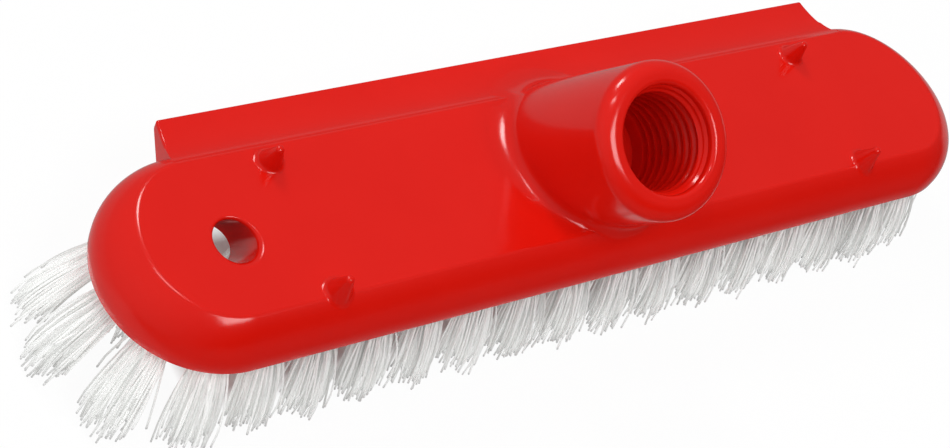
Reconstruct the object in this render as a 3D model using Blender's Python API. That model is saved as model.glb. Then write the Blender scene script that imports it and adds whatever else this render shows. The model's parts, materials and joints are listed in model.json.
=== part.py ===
"""Floor scrub brush head: a moulded block with a threaded handle socket, a scraper lip, four pips and a
hanging hole, and tufts of bristle that sit in blind holes in its underside.

Metres, +Z up. X runs along the brush, +Y points to the scraper lip, the socket leans towards -Y, and the
bristle tips stand on z = 0.
"""
import random
from math import asin, cos, pi, radians, sin, sqrt, tan

import bmesh
import bpy
from mathutils import Matrix, Vector

MM = 0.001

# Block
BLOCK_LENGTH = 230.0 * MM
BLOCK_WIDTH = 49.3 * MM
BLOCK_THICKNESS = 12.0 * MM
END_DEPTH = 23.3 * MM          # how far each rounded end reaches past the straight sides
ROLL_HEIGHT = 10.2 * MM        # the convex edge, from the flat top down to the side
ROLL_SIDE = 5.6 * MM           # its width along the straight sides
ROLL_END = 8.0 * MM            # its width at the rounded ends
ROLL_START = radians(30.0)     # where on a quarter oval it leaves the top, which makes the crease
UNDER_EDGE_RADIUS = 0.7 * MM

# Scraper lip along the back
LIP_LENGTH = 185.0 * MM
LIP_END_DRAFT = 2.2 * MM       # each end draws in by this much from the crease to the tip
LIP_REACH = 13.3 * MM          # from the crease of the top face to the tip
LIP_DROP = 3.1 * MM            # the tip lies this far below the top face
LIP_EDGE = 2.5 * MM            # thickness at the tip
LIP_EDGE_BREAK = 0.5 * MM      # flat that takes off the tip's lower corner
COVE_START = 4.0 * MM          # the control point that shapes the hollow upper face
COVE_DIP = 3.9 * MM

# Handle socket
SOCKET_TILT = radians(32.6)
SOCKET_FOOT_Y = 0.7 * MM       # where its axis crosses the plane of the top face
SOCKET_LENGTH = 31.2 * MM      # along the axis, from that plane to the rim
SOCKET_RADIUS = 17.2 * MM
SOCKET_FILLET = 4.2 * MM
RIM_ROUND = 3.6 * MM
MOUTH_RADIUS = 11.7 * MM       # the plain lead-in
MOUTH_ROUND = 1.2 * MM
MOUTH_DEPTH = 1.9 * MM
THREAD_ROOT_RADIUS = 11.2 * MM
THREAD_HEIGHT = 0.7 * MM
THREAD_PITCH = 2.5 * MM
THREAD_TURNS = 8
THREAD_LEAD_IN = 0.6 * MM      # from the lead-in to the start of the thread
THREAD_RUN_OUT = 0.8 * MM      # from its end to the smooth end of the bore
BORE_DEPTH = 27.0 * MM
BORE_END_RADIUS = 10.5 * MM

# Pips on the top face
PIP_SPACING = 145.5 * MM       # along the brush
PIP_BACK_INSET = 4.2 * MM      # from the back crease of the top face to the middle of a pip
PIP_FRONT_INSET = 0.9 * MM     # from the front crease
PIP_TILT = radians(11.5)       # towards the front
PIP_HEIGHT = 6.4 * MM
PIP_RADIUS = 2.8 * MM
PIP_TIP_RADIUS = 0.7 * MM
PIP_FILLET = 0.9 * MM

# Hanging hole, parallel to the socket
HANG_INSET = 26.9 * MM         # from the end of the block
HANG_Y = -1.8 * MM             # where its axis crosses the plane of the top face
HANG_RADIUS = 4.5 * MM
HANG_ROUND = 1.1 * MM

# Tufts
FREE_LENGTH = 19.0 * MM        # from the underside to the trimmed tips
SIDE_TUFTS = 14                # along each straight side
END_TUFTS = 5                  # round each end
EDGE_INSET = 6.8 * MM          # from the block's edge to the outer tufts
INNER_TUFTS = 9                # in each of two inner rows
INNER_OFFSET = 5.8 * MM        # each inner row from the middle line
INNER_LEFT_INSET = 16.5 * MM   # from the block's ends to the ends of the inner rows
INNER_RIGHT_INSET = 22.7 * MM
HOLE_RADIUS = 3.0 * MM
HOLE_DEPTH = 7.0 * MM
LEAN_SIDE = radians(19.0)      # outwards, of the tufts along the sides
LEAN_LEFT_END = radians(32.0)
LEAN_RIGHT_END = radians(14.0)
SET_ASIDE = 1.5 * MM           # the tips are all bent this far towards the left end
SEAT_GAP = 0.3 * MM            # between a tuft's root and its hole
ROOT_STANDOUT = 0.6 * MM
STRANDS_IN_RING = 6            # round the one in the middle
STRAND_RADIUS = 0.62 * MM
STRAND_TIP_RADIUS = 0.5 * MM
STRAND_ROOT_SPREAD = 1.55 * MM
STRAND_TIP_SPREAD = 4.6 * MM
STRAND_BELLY = 0.34 * MM       # halfway down, a strand lies this far inside a straight line
STRAND_BOW = 0.375 * MM        # and this far to the right of it, so that it curves over to the left
STRAND_EMBED = 0.8 * MM
TIP_WANDER_LEAST = 0.15 * MM
TIP_WANDER_MOST = 0.7 * MM
TRIM_DEPTH = 0.5 * MM          # the longest strands lose this much where they are cut flat
LENGTH_SCATTER = 2.6 * MM
MIDDLE_SCATTER = 0.9 * MM      # the same for the strand in the middle

# Fineness
END_STEPS = 20
ROLL_STEPS = 6
UNDER_STEPS = 2
COVE_STEPS = 8
SOCKET_SIDES = 44
RIM_STEPS = 4
FILLET_STEPS = 4
BORE_SIDES = 30
MOUTH_STEPS = 3
THREAD_ROWS_PER_TURN = 4
PIP_SIDES = 14
PIP_TIP_STEPS = 2
HANG_SIDES = 20
HANG_RIM_STEPS = 3
HOLE_SIDES = 10
ROOT_SIDES = 6
HALVINGS = 50                  # of a span, to find where a wall meets the skin
SMOOTH_BELOW = radians(35.0)

# How far joined and cutting shapes reach into or past each other
OVERLAP = 3.0 * MM
SKIM = 0.5 * MM                # the lip's blank stands this far above its finished face
FOOT_SINK = 0.06 * MM          # a fillet's foot lies this far inside the skin
SKIRT_SINK = 0.5 * MM
SKIRT_REACH = 0.2 * MM
DEEP_SINK = 1.0 * MM           # the flat end of a boss, under its skirt

UNDER_Z = FREE_LENGTH
TOP_Z = UNDER_Z + BLOCK_THICKNESS
STRAIGHT_HALF = BLOCK_LENGTH / 2 - END_DEPTH
TOP_HALF_WIDTH = BLOCK_WIDTH / 2 - ROLL_SIDE
SEED = 7


def clear_objects():
    for item in list(bpy.data.objects):
        bpy.data.objects.remove(item, do_unlink=True)


def new_collection(name):
    collection = bpy.data.collections.new(name)
    bpy.context.scene.collection.children.link(collection)
    return collection


def make_material(name, colour, roughness):
    material = bpy.data.materials.new(name)
    material.use_nodes = True
    shader = material.node_tree.nodes["Principled BSDF"]
    shader.inputs["Base Color"].default_value = (*colour, 1.0)
    shader.inputs["Roughness"].default_value = roughness
    shader.inputs["Metallic"].default_value = 0.0
    return material


def object_from(bm, name, collection):
    """Turn a bmesh into an object with its faces pointing out."""
    bmesh.ops.recalc_face_normals(bm, faces=bm.faces)
    mesh = bpy.data.meshes.new(name)
    bm.to_mesh(mesh)
    bm.free()
    item = bpy.data.objects.new(name, mesh)
    collection.objects.link(item)
    return item


def add_loft(bm, rings):
    """Skin a stack of rings of equal count and close both ends."""
    rows = [[bm.verts.new(point) for point in ring] for ring in rings]
    count = len(rows[0])
    for lower, upper in zip(rows, rows[1:]):
        for i in range(count):
            j = (i + 1) % count
            bm.faces.new((lower[i], lower[j], upper[j], upper[i]))
    bm.faces.new(rows[0][::-1])
    bm.faces.new(rows[-1])


def loft(name, rings, collection):
    bm = bmesh.new()
    add_loft(bm, rings)
    return object_from(bm, name, collection)


def combine(target, cutter, operation):
    """Join the cutter to the target, or cut it away, and keep the result in the target."""
    modifier = target.modifiers.new(operation.title(), "BOOLEAN")
    modifier.operation = operation
    modifier.object = cutter
    modifier.solver = "EXACT"
    depsgraph = bpy.context.evaluated_depsgraph_get()
    result = bpy.data.meshes.new_from_object(target.evaluated_get(depsgraph))
    old = target.data
    target.modifiers.clear()
    target.data = result
    bpy.data.meshes.remove(old)


def as_cutter(item):
    item.hide_render = True
    item.display_type = "WIRE"


def full_turn(sides):
    """The angles of a ring of points."""
    return [2 * pi * k / sides for k in range(sides)]


def quarter_turn(steps):
    return [pi / 2 * i / steps for i in range(steps + 1)]


# Surfaces that other pieces follow

def roll_point(angle):
    """The convex edge, as (share of its width from the flat top, drop), at an angle on its quarter oval."""
    out = (sin(angle) - sin(ROLL_START)) / (1.0 - sin(ROLL_START))
    drop = ROLL_HEIGHT * (cos(ROLL_START) - cos(angle)) / cos(ROLL_START)
    return out, drop


def roll_drop(distance):
    """How far the convex edge along a straight side has fallen at a distance from the flat top."""
    share = min(max(distance / ROLL_SIDE, 0.0), 1.0)
    angle = asin(sin(ROLL_START) + share * (1.0 - sin(ROLL_START)))
    return roll_point(angle)[1]


def cove_point(t):
    """The hollow upper face of the lip, as (distance behind the crease, drop below the top face)."""
    out = 2 * t * (1 - t) * COVE_START + t * t * LIP_REACH
    drop = 2 * t * (1 - t) * COVE_DIP + t * t * LIP_DROP
    return out, drop


def cove_drop(distance):
    a = LIP_REACH - 2 * COVE_START
    b = 2 * COVE_START
    t = (-b + sqrt(b * b + 4 * a * min(distance, LIP_REACH))) / (2 * a)
    return cove_point(t)[1]


def skin_z(y):
    """Height of the block's upper skin along its straight middle."""
    if y > TOP_HALF_WIDTH:
        return TOP_Z - cove_drop(y - TOP_HALF_WIDTH)
    return TOP_Z - roll_drop(-y - TOP_HALF_WIDTH)


def outline(inset_end, inset_side, z):
    """A long oval: straight sides and half-elliptic ends."""
    reach = END_DEPTH - inset_end
    half = BLOCK_WIDTH / 2 - inset_side
    points = []
    for side in (1, -1):
        for i in range(END_STEPS + 1):
            angle = -pi / 2 + pi * i / END_STEPS
            x = side * (STRAIGHT_HALF + reach * cos(angle))
            points.append(Vector((x, side * half * sin(angle), z)))
    return points


# Block and what is moulded on it

def make_slab(collection):
    rings = []
    for i in range(ROLL_STEPS + 1):
        out, drop = roll_point(ROLL_START + (pi / 2 - ROLL_START) * i / ROLL_STEPS)
        rings.append(outline(ROLL_END * (1.0 - out), ROLL_SIDE * (1.0 - out), TOP_Z - drop))
    for angle in quarter_turn(UNDER_STEPS)[1:]:
        inset = UNDER_EDGE_RADIUS * (1.0 - cos(angle))
        rings.append(outline(inset, inset, UNDER_Z + UNDER_EDGE_RADIUS * (1.0 - sin(angle))))
    return loft("block", rings, collection)


def lip_section(points, end_draft):
    """Two outlines across the lip, one at each end. They draw in towards the tip by the draft."""
    rings = []
    for side in (-1, 1):
        ring = []
        for y, z in points:
            share = max(y - TOP_HALF_WIDTH, 0.0) / LIP_REACH
            ring.append(Vector((side * (LIP_LENGTH / 2 - end_draft * share), y, z)))
        rings.append(ring)
    return rings


def make_lip(collection):
    tip_y = TOP_HALF_WIDTH + LIP_REACH
    tip_z = TOP_Z - LIP_DROP
    inner_y = TOP_HALF_WIDTH - OVERLAP
    low_z = UNDER_Z + UNDER_EDGE_RADIUS
    points = [
        (inner_y, low_z),
        (BLOCK_WIDTH / 2 - UNDER_EDGE_RADIUS, low_z),
        (tip_y - LIP_EDGE_BREAK, tip_z - LIP_EDGE),
        (tip_y, tip_z - LIP_EDGE + LIP_EDGE_BREAK),
        (tip_y, tip_z + SKIM),
        (inner_y, TOP_Z - SKIM),
    ]
    return loft("lip", lip_section(points, LIP_END_DRAFT), collection)


def make_cove_cutter(collection):
    """Everything above the lip's hollow face. It widens towards the tip, clear of the lip's own ends."""
    points = []
    for i in range(COVE_STEPS + 1):
        out, drop = cove_point(i / COVE_STEPS)
        points.append((TOP_HALF_WIDTH + out, TOP_Z - drop))
    points.append((TOP_HALF_WIDTH + LIP_REACH + OVERLAP, TOP_Z - LIP_DROP))
    points.append((TOP_HALF_WIDTH + LIP_REACH + OVERLAP, TOP_Z + OVERLAP))
    points.append((TOP_HALF_WIDTH, TOP_Z + OVERLAP))
    return loft("cove_cutter", lip_section(points, -LIP_END_DRAFT), collection)


def boss_rows(foot, axis, radius_at, height, sides, fillet):
    """Rings of a fillet that runs from the block's skin up the wall of a round boss.

    radius_at gives the wall's radius at a height along the axis. Each side's wall line is followed down to
    the skin, and a curve that is tangent to both carries the skin into the wall."""
    side_x = Vector((1.0, 0.0, 0.0))
    side_y = axis.cross(side_x)

    def wall(angle, level):
        out = side_x * cos(angle) + side_y * sin(angle)
        return foot + axis * level + out * radius_at(level)

    rows = [[] for _ in range(FILLET_STEPS + 3)]
    for angle in full_turn(sides):
        low, high = -height, height
        for _ in range(HALVINGS):
            middle = (low + high) / 2
            point = wall(angle, middle)
            if point.z < skin_z(point.y):
                low = middle
            else:
                high = middle
        corner = wall(angle, high)
        out = corner - (foot + axis * (corner - foot).dot(axis))
        out.z = 0.0
        out.normalize()
        heel = corner + out * fillet
        heel.z = skin_z(heel.y) - FOOT_SINK
        shoulder = wall(angle, high + fillet)
        skirt = heel + out * SKIRT_REACH
        skirt.z = skin_z(skirt.y) - SKIRT_SINK
        deep = corner.lerp(foot, 0.5)
        deep.z = skin_z(skirt.y) - DEEP_SINK
        rows[0].append(deep)
        rows[1].append(skirt)
        for i in range(FILLET_STEPS + 1):
            t = i / FILLET_STEPS
            rows[i + 2].append(heel * (1 - t) ** 2 + corner * (2 * t * (1 - t)) + shoulder * t * t)
    return rows


def socket_axis():
    """The foot of the socket's axis on the top plane, its direction, and two directions across it."""
    axis = Vector((0.0, -sin(SOCKET_TILT), cos(SOCKET_TILT)))
    side_x = Vector((1.0, 0.0, 0.0))
    return Vector((0.0, SOCKET_FOOT_Y, TOP_Z)), axis, side_x, axis.cross(side_x)


def make_socket(collection):
    foot, axis, side_x, side_y = socket_axis()
    rows = boss_rows(foot, axis, lambda level: SOCKET_RADIUS, SOCKET_LENGTH, SOCKET_SIDES, SOCKET_FILLET)
    for angle in quarter_turn(RIM_STEPS):
        centre = foot + axis * (SOCKET_LENGTH - RIM_ROUND * (1.0 - sin(angle)))
        radius = SOCKET_RADIUS - RIM_ROUND * (1.0 - cos(angle))
        turn = full_turn(SOCKET_SIDES)
        rows.append([centre + (side_x * cos(a) + side_y * sin(a)) * radius for a in turn])
    return loft("socket", rows, collection)


def make_bore_cutter(collection):
    """The hole in the socket: rounded mouth, plain lead-in, helical thread and smooth end."""
    foot, axis, side_x, side_y = socket_axis()
    thread_start = MOUTH_DEPTH + THREAD_LEAD_IN
    thread_length = THREAD_PITCH * THREAD_TURNS
    thread_end = thread_start + thread_length

    def ring(depth, radius_of):
        points = []
        for a in full_turn(BORE_SIDES):
            out = side_x * cos(a) + side_y * sin(a)
            points.append(foot + axis * (SOCKET_LENGTH - depth) + out * radius_of(a))
        return points

    def thread_radius(depth, angle):
        """The ridge winds down the bore, and it rises and fades over half a turn at its ends."""
        fade = min(depth - thread_start, thread_end - depth) / (THREAD_PITCH / 2)
        wave = (1.0 - cos(2 * pi * depth / THREAD_PITCH - angle)) / 2
        return THREAD_ROOT_RADIUS - THREAD_HEIGHT * wave * min(max(fade, 0.0), 1.0)

    rings = [ring(-OVERLAP, lambda a: MOUTH_RADIUS + MOUTH_ROUND)]
    for angle in quarter_turn(MOUTH_STEPS):
        radius = MOUTH_RADIUS + MOUTH_ROUND * (1.0 - sin(angle))
        rings.append(ring(MOUTH_ROUND * (1.0 - cos(angle)), lambda a, r=radius: r))
    rings.append(ring(MOUTH_DEPTH, lambda a: MOUTH_RADIUS))
    rows = THREAD_TURNS * THREAD_ROWS_PER_TURN
    for i in range(rows + 1):
        depth = thread_start + thread_length * i / rows
        rings.append(ring(depth, lambda a, d=depth: thread_radius(d, a)))
    rings.append(ring(thread_end + THREAD_RUN_OUT, lambda a: BORE_END_RADIUS))
    rings.append(ring(BORE_DEPTH, lambda a: BORE_END_RADIUS))
    return loft("bore_cutter", rings, collection)


def make_pip(collection, x, y):
    """A blunt cone that leans to the front."""
    foot = Vector((x, y, TOP_Z))
    axis = Vector((0.0, -sin(PIP_TILT), cos(PIP_TILT)))
    side_x = Vector((1.0, 0.0, 0.0))
    side_y = axis.cross(side_x)
    taper = (PIP_RADIUS - PIP_TIP_RADIUS) / PIP_HEIGHT
    rows = boss_rows(foot, axis, lambda level: PIP_RADIUS - taper * level, PIP_HEIGHT, PIP_SIDES, PIP_FILLET)
    for angle in quarter_turn(PIP_TIP_STEPS)[:-1]:
        centre = foot + axis * (PIP_HEIGHT - PIP_TIP_RADIUS * (1.0 - sin(angle)))
        radius = PIP_TIP_RADIUS * (1.0 + taper) * cos(angle)
        rows.append([centre + (side_x * cos(a) + side_y * sin(a)) * radius for a in full_turn(PIP_SIDES)])
    return loft("pip", rows, collection)


def make_hang_cutter(collection):
    """A slanted round hole with rounded rims at both faces."""
    levels = [(TOP_Z + OVERLAP, HANG_ROUND)]
    for angle in quarter_turn(HANG_RIM_STEPS):
        levels.append((TOP_Z - HANG_ROUND * (1.0 - cos(angle)), HANG_ROUND * (1.0 - sin(angle))))
    for angle in quarter_turn(UNDER_STEPS):
        z = UNDER_Z + UNDER_EDGE_RADIUS * (1.0 - sin(angle))
        levels.append((z, UNDER_EDGE_RADIUS * (1.0 - cos(angle))))
    levels.append((UNDER_Z - OVERLAP, UNDER_EDGE_RADIUS))
    centre_x = HANG_INSET - BLOCK_LENGTH / 2
    rings = []
    for z, flare in levels:
        inside = min(max(z, UNDER_Z), TOP_Z)
        centre_y = HANG_Y + (TOP_Z - inside) * tan(SOCKET_TILT)
        reach_x = HANG_RADIUS + flare
        reach_y = HANG_RADIUS / cos(SOCKET_TILT) + flare
        turn = full_turn(HANG_SIDES)
        rings.append([Vector((centre_x + reach_x * cos(a), centre_y + reach_y * sin(a), z)) for a in turn])
    return loft("hang_cutter", rings, collection)


# Tufts

def edge_seats():
    """Name, mouth centre and bristle direction of the tufts round the edge."""
    reach = END_DEPTH - EDGE_INSET
    half = BLOCK_WIDTH / 2 - EDGE_INSET
    down = Vector((0.0, 0.0, -1.0))
    seats = []
    for word, side in (("front", -1), ("back", 1)):
        for k in range(SIDE_TUFTS):
            x = STRAIGHT_HALF * (2 * (k + 0.5) / SIDE_TUFTS - 1)
            direction = down + Vector((0.0, side * tan(LEAN_SIDE), 0.0))
            seats.append((f"tuft_{word}_{k + 1:02d}", Vector((x, side * half, UNDER_Z)), direction.normalized()))
    for word, side, lean_end in (("left_end", -1, LEAN_LEFT_END), ("right_end", 1, LEAN_RIGHT_END)):
        for k in range(END_TUFTS):
            angle = -pi / 2 + pi * (k + 0.5) / END_TUFTS
            mouth = Vector((side * (STRAIGHT_HALF + reach * cos(angle)), half * sin(angle), UNDER_Z))
            out = Vector((side * cos(angle) / reach, sin(angle) / half, 0.0)).normalized()
            lean = LEAN_SIDE + (lean_end - LEAN_SIDE) * abs(out.x)
            seats.append((f"tuft_{word}_{k + 1}", mouth, (down + out * tan(lean)).normalized()))
    return seats


def inner_seats():
    """The same for the two rows inside, whose tufts stand upright."""
    first = INNER_LEFT_INSET - BLOCK_LENGTH / 2
    last = BLOCK_LENGTH / 2 - INNER_RIGHT_INSET
    seats = []
    for word, side in (("front", -1), ("back", 1)):
        for k in range(INNER_TUFTS):
            x = first + (last - first) * k / (INNER_TUFTS - 1)
            mouth = Vector((x, side * INNER_OFFSET, UNDER_Z))
            seats.append((f"tuft_inner_{word}_{k + 1:02d}", mouth, Vector((0.0, 0.0, -1.0))))
    return seats


def add_rod(bm, start, end, radius, sides):
    """A closed round rod between two points."""
    along = end - start
    turn = along.to_track_quat("Z", "Y").to_matrix().to_4x4()
    place = Matrix.Translation((start + end) / 2) @ turn
    bmesh.ops.create_cone(bm, cap_ends=True, segments=sides, radius1=radius, radius2=radius,
                          depth=along.length, matrix=place)


def make_hole_cutters(seats, collection):
    bm = bmesh.new()
    for _, mouth, direction in seats:
        add_rod(bm, mouth - direction * HOLE_DEPTH, mouth + direction * OVERLAP, HOLE_RADIUS, HOLE_SIDES)
    return object_from(bm, "hole_cutters", collection)


def three_sided(centre, radius, turn):
    return [centre + Vector((radius * cos(turn + a), radius * sin(turn + a), 0.0)) for a in full_turn(3)]


def strand_rings(root_end, direction, tip_middle, ray, chance):
    """One strand of a tuft. The ray points from the tuft's middle to the strand's side, or is zero."""
    start = root_end + ray * STRAND_ROOT_SPREAD - direction * STRAND_EMBED
    tip = tip_middle + ray * STRAND_TIP_SPREAD
    wander = chance.uniform(0.0, 2 * pi)
    reach = chance.uniform(TIP_WANDER_LEAST, TIP_WANDER_MOST)
    tip += Vector((cos(wander), sin(wander), 0.0)) * reach
    scatter = LENGTH_SCATTER if ray.length > 0.0 else MIDDLE_SCATTER
    short = max(chance.uniform(-TRIM_DEPTH, scatter), 0.0)
    tip += (start - tip) * (short / (start.z - tip.z))
    middle = start.lerp(tip, 0.5) - ray * STRAND_BELLY
    middle.x += STRAND_BOW
    turn = chance.uniform(0.0, 2 * pi / 3)
    return [
        three_sided(start, STRAND_RADIUS, turn),
        three_sided(middle, STRAND_RADIUS, turn),
        three_sided(tip, STRAND_TIP_RADIUS, turn),
    ]


def make_tuft(name, mouth, direction, parts, cutters, chance):
    """A root that fills the hole, with strands fused to its end that flare out to the trim plane."""
    root_start = mouth - direction * (HOLE_DEPTH - SEAT_GAP)
    root_end = mouth + direction * ROOT_STANDOUT
    root_radius = HOLE_RADIUS * cos(pi / HOLE_SIDES) - SEAT_GAP
    root = bmesh.new()
    add_rod(root, root_start, root_end, root_radius, ROOT_SIDES)
    tuft = object_from(root, name, parts)

    tip_middle = mouth - direction * (mouth.z / direction.z) - Vector((SET_ASIDE, 0.0, 0.0))
    offset = chance.uniform(0.0, pi / 3)
    rays = [Vector((cos(offset + a), sin(offset + a), 0.0)) for a in full_turn(STRANDS_IN_RING)]
    strands = bmesh.new()
    for ray in rays + [Vector()]:
        add_loft(strands, strand_rings(root_end, direction, tip_middle, ray, chance))
    bundle = object_from(strands, name + "_strands", cutters)
    combine(tuft, bundle, "UNION")
    bpy.data.objects.remove(bundle, do_unlink=True)
    return tuft


def make_block(parts, cutters, seats):
    block = make_slab(parts)
    lip = make_lip(cutters)
    cove = make_cove_cutter(cutters)
    socket = make_socket(cutters)
    steps = [(lip, "UNION"), (cove, "DIFFERENCE"), (socket, "UNION")]
    for x in (-PIP_SPACING / 2, PIP_SPACING / 2):
        for y in (PIP_FRONT_INSET - TOP_HALF_WIDTH, TOP_HALF_WIDTH - PIP_BACK_INSET):
            steps.append((make_pip(cutters, x, y), "UNION"))
    steps.append((make_bore_cutter(cutters), "DIFFERENCE"))
    steps.append((make_hang_cutter(cutters), "DIFFERENCE"))
    steps.append((make_hole_cutters(seats, cutters), "DIFFERENCE"))
    for item, operation in steps:
        combine(block, item, operation)
        as_cutter(item)
    return block


def build():
    clear_objects()
    parts = new_collection("floor_scrub_brush")
    cutters = new_collection("cutters")
    red = make_material("red_plastic", (0.72, 0.02, 0.012), 0.18)
    white = make_material("white_filament", (0.86, 0.87, 0.86), 0.4)

    seats = edge_seats() + inner_seats()
    block = make_block(parts, cutters, seats)
    block.data.materials.clear()
    block.data.materials.append(red)
    block.data.shade_smooth()
    block.data.set_sharp_from_angle(angle=SMOOTH_BELOW)

    chance = random.Random(SEED)
    for name, mouth, direction in seats:
        tuft = make_tuft(name, mouth, direction, parts, cutters, chance)
        tuft.data.materials.clear()
        tuft.data.materials.append(white)


build()
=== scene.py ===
# %% [markdown]
# # A floor scrub brush
#
# The real brush is one glossy red moulding with white bristle tufts driven into its underside. The CAD model
# gives every size and place. This file dresses it: a finer moulding with soft creases and fillets, tufts of
# single filaments, their materials, and a small studio round them.

# %% Load the frame
import json
import random
from math import cos, pi, radians, sin, sqrt, tan

import bmesh
import bpy
from mathutils import Matrix, Vector

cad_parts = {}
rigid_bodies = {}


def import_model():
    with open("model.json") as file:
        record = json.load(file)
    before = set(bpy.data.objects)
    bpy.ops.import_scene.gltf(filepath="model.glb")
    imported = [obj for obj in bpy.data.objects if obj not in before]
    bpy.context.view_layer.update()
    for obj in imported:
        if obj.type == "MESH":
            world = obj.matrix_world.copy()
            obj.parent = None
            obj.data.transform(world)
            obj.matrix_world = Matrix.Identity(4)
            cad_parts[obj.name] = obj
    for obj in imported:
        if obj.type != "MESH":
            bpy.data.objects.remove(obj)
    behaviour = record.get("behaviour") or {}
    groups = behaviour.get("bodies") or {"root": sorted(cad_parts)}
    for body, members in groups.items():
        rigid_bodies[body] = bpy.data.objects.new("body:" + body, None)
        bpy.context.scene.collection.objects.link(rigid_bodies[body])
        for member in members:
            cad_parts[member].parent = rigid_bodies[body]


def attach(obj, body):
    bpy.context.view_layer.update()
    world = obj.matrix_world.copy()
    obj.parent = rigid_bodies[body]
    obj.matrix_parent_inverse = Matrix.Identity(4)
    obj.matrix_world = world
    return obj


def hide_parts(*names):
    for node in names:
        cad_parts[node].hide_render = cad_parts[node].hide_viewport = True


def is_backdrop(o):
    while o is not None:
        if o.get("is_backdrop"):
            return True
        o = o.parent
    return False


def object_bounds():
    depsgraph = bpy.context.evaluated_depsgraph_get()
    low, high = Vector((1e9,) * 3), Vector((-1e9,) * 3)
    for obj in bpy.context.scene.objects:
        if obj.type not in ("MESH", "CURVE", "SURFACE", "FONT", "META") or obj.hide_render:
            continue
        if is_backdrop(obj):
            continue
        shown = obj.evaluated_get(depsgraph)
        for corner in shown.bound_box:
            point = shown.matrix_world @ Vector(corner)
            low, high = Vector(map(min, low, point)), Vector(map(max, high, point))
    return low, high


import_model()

MM = 0.001
cad_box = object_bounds()
bpy.ops.object.select_all(action="DESELECT")
print("CAD box in mm", [[round(v / MM, 1) for v in corner] for corner in cad_box])

# %% [markdown]
# ## The camera
#
# Its place was found by fitting a camera to points of the object, such as the outline, the socket's mouth and
# the hanging hole. It is rolled, because the brush lies aslant in the picture. A matrix whose columns are the
# camera's right, up and back directions holds such a pose better than three angles do.

# %% Place the camera
CAMERA_PLACE = Vector((-0.26630, -0.18477, 0.34494))
CAMERA_UP = Vector((0.19395, 0.79021, 0.58133))
CAMERA_BACK = Vector((-0.54070, -0.40834, 0.73546)).normalized()
LENS = 76.99
SENSOR = 36.0
CLIP_START = 0.01

camera_right = CAMERA_UP.cross(CAMERA_BACK).normalized()
camera_up = CAMERA_BACK.cross(camera_right)
turn = Matrix((camera_right, camera_up, CAMERA_BACK)).transposed()
bpy.ops.object.camera_add(location=CAMERA_PLACE, rotation=turn.to_euler())
camera = bpy.context.object
camera.data.lens = LENS
camera.data.sensor_width = SENSOR
camera.data.clip_start = CLIP_START
bpy.context.scene.camera = camera
print("camera", [round(v, 3) for v in camera.location], "m, lens", LENS, "mm")

# %% [markdown]
# ## Wires between shader nodes
#
# A material is a small program made of nodes. Written as Python expressions it reads like the maths it does,
# so one class wraps an output, and sums and products of such wires add the Math nodes. Any other node comes
# from its add method. The short functions after it do what several materials need, such as a blend of two
# colours.

# %% A wire
class Wire:
    """The output of a shader node, or only its tree."""

    def __init__(self, tree, socket=None):
        self.tree = tree
        self.socket = socket

    def add(self, kind, settings=None, sockets=None, out=0):
        """A new node. Its settings are set first, then its sockets, which take a value or a wire."""
        node = self.tree.nodes.new("ShaderNode" + kind)
        for name, value in (settings or {}).items():
            if name == "stops":
                stops = node.color_ramp.elements
                for _ in value[2:]:
                    stops.new(1.0)
                for stop, (place, level) in zip(stops, value):
                    stop.position = place
                    stop.color = grey(level)
            else:
                setattr(node, name, value)
        for name, value in (sockets or {}).items():
            if isinstance(value, Wire):
                self.tree.links.new(value.socket, node.inputs[name])
            else:
                node.inputs[name].default_value = value
        return Wire(self.tree, node.outputs[out]) if node.outputs else None

    def maths(self, operation, first, second):
        return self.add("Math", {"operation": operation}, {0: first, 1: second})

    def __add__(self, other):
        return self.maths("ADD", self, other)

    def __mul__(self, other):
        return self.maths("MULTIPLY", self, other)

    def __sub__(self, other):
        return self.maths("SUBTRACT", self, other)

    def __rsub__(self, other):
        return self.maths("SUBTRACT", other, self)

    def held(self, low=0.0, high=1.0):
        return self.maths("MINIMUM", self.maths("MAXIMUM", self, low), high)

    def ramp(self, start, end):
        """Rises evenly from 0 at the start to 1 at the end."""
        return ((self - start) * (1 / (end - start))).held()

    def dot(self, way):
        return self.add("VectorMath", {"operation": "DOT_PRODUCT"}, {0: self, 1: tuple(way)}, out=1)

    def axes(self):
        """The X, Y and Z of a place or direction."""
        parts = self.add("SeparateXYZ", sockets={"Vector": self}).socket.node
        return [Wire(self.tree, output) for output in parts.outputs]

    __radd__ = __add__
    __rmul__ = __mul__


def blank_tree(owner):
    """Empties the node tree of a material or world and gives its first wire."""
    owner.use_nodes = True
    owner.node_tree.nodes.clear()
    return Wire(owner.node_tree)


def object_place(wire):
    """Texture Coordinate's Object output."""
    return wire.add("TexCoord", out=3)


def blend(wire, colour_a, colour_b, share):
    """Mix has a set of sockets for each data type. The colour ones are numbers 6 and 7, and output 2."""
    return wire.add("Mix", {"data_type": "RGBA"}, {0: share, 6: colour_a, 7: colour_b}, out=2)


def grey(level):
    return (level, level, level, 1.0)


def kinds_of_ray(wire):
    """Light Path's outputs for what the camera sees, what gloss mirrors and what shows through glass."""
    return [wire.add("LightPath", out=i) for i in (0, 3, 6)]


print("a middle grey is", grey(0.5))

# %% [markdown]
# ## The studio
#
# The brush lies on a white table. Its highlights say where the lamps are: each bright spot on a rounded edge
# mirrors one. A wide softbox stands high on the camera's side, a smaller one hangs behind the brush, and a
# narrow strip high over its left end draws the thin line along the crease there.
#
# The rest is a plain room that lights the ends, the left and the back a little more. Lamps and room stay at a
# plain level, so that a colour renders about as it is written. The camera sees the room as plain white.
# Glossy plastic mirrors a darker grey instead, which rises towards the back.

# %% Lamps and room
ROOM_FILL = 0.43
ROOM_ENDS = 0.36
ROOM_LEAN = (-0.22, 0.20, 0.0)
ROOM_SHADE = 0.03
ROOM_RISE = 0.27
ROOM_BRIGHT_SIDE = Vector((-0.30, 0.60, 0.75)).normalized()
ROOM_TURN = 0.4


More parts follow.
